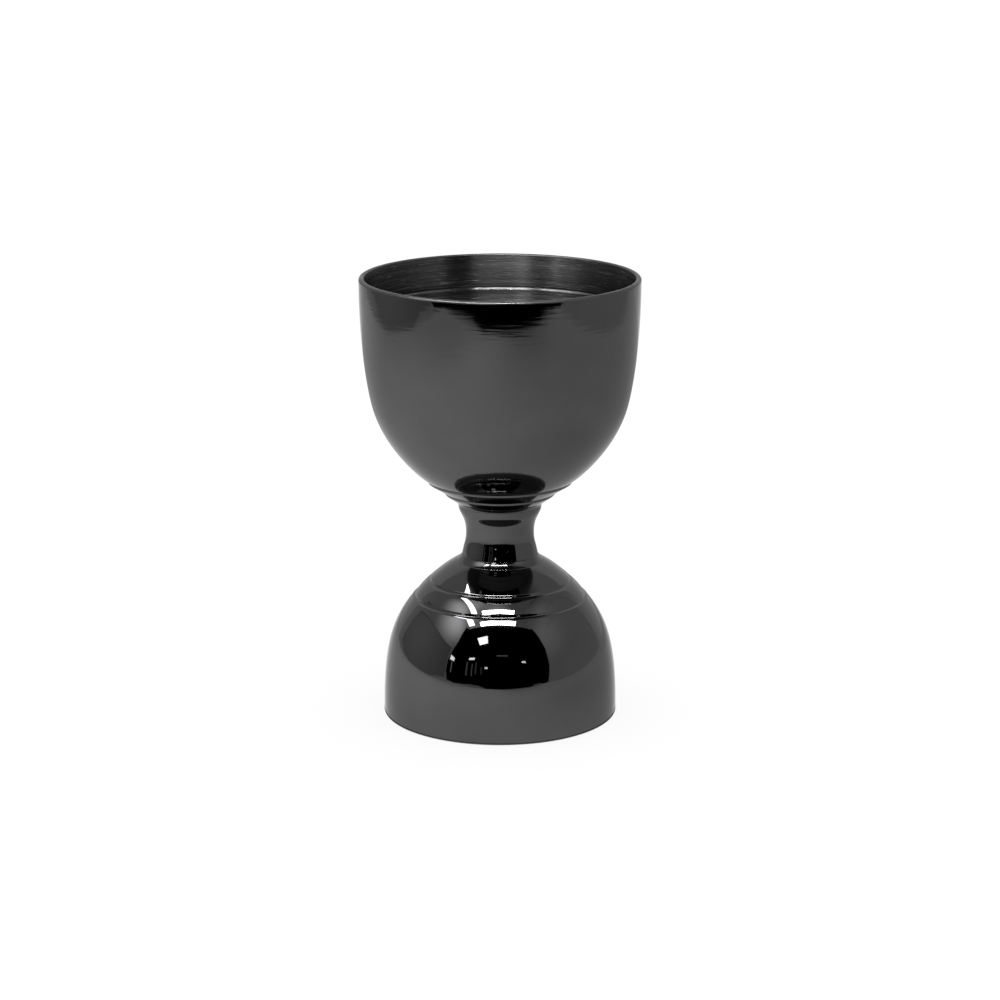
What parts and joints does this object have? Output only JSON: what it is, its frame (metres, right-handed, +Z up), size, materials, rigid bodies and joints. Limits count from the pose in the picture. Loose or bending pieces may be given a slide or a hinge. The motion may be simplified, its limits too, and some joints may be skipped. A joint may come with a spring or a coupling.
{
  "type": "bar jigger",
  "caption": "Double-ended bell jigger: a large measuring cup and a smaller bell-shaped cup brazed to a short waisted stem, plated black nickel.",
  "frame": {"origin": "on the table, at the middle of the small cup's mouth", "axes": "+Z up along the axis of both cups, from the small cup to the large one; +X and +Y are any two directions across it"},
  "size_m": [0.049, 0.049, 0.0785],
  "materials": {
    "large_cup_plating": "black nickel, soft mirror outside and circular brushed inside",
    "small_cup_plating": "black nickel, sharp mirror outside and circular brushed inside",
    "stem_plating": "black nickel, mirror",
    "braze_plating": "black nickel over a smoothed fillet of filler metal"
  },
  "bodies": {
    "root": {"large_cup": "large_cup_plating", "small_cup": "small_cup_plating", "stem": "stem_plating", "upper_braze_ring": "braze_plating", "lower_braze_ring": "braze_plating"}
  },
  "joints": []
}
